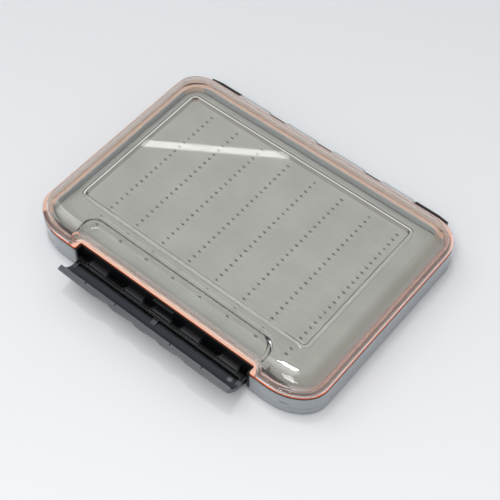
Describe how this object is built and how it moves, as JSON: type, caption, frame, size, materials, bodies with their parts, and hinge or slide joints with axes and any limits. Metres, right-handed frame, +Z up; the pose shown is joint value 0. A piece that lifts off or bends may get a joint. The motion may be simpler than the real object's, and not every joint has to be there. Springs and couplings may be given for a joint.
{
  "type": "fly box",
  "caption": "Slim rectangular case with a clear domed lid hinged at the back, a sealing gasket, a long finger latch at the front and a slit foam lining for hooks.",
  "frame": {"origin": "under the middle of the case, on the flat face it rests on", "axes": "+X along the latch and hinge, +Y from the latch side to the hinge side, +Z up out of the table"},
  "size_m": [0.15, 0.1236, 0.0213],
  "materials": {
    "smoke_clear_plastic": "moulded see-through polycarbonate, smoke grey, polished",
    "black_plastic": "moulded ABS, black, fine satin",
    "orange_silicone": "moulded silicone rubber, orange, smooth",
    "grey_foam": "closed-cell foam, warm grey, slit in rows",
    "adhesive": "thin double-sided adhesive sheet",
    "clear_plastic": "moulded clear polycarbonate, polished",
    "steel": "drawn stainless steel rod",
    "charcoal_plastic": "moulded ABS, charcoal, fine satin"
  },
  "bodies": {
    "case": {"tub": "smoke_clear_plastic", "frame": "black_plastic", "gasket": "orange_silicone", "foam_pad": "grey_foam", "adhesive_sheet": "adhesive", "hinge_pin": "steel", "latch_pin": "steel"},
    "lid": {"lid": "clear_plastic"},
    "latch": {"latch": "charcoal_plastic"}
  },
  "joints": [
    {"name": "lid_hinge", "type": "hinge", "parent": "case", "child": "lid", "pos_m": [0, 0.0552, 0.0114], "axis": [-1, 0, 0], "range_deg": [0, 175]},
    {"name": "latch_hinge", "type": "hinge", "parent": "case", "child": "latch", "pos_m": [0, -0.0526, 0.0057], "axis": [-1, 0, 0], "range_deg": [-35, 73]}
  ]
}
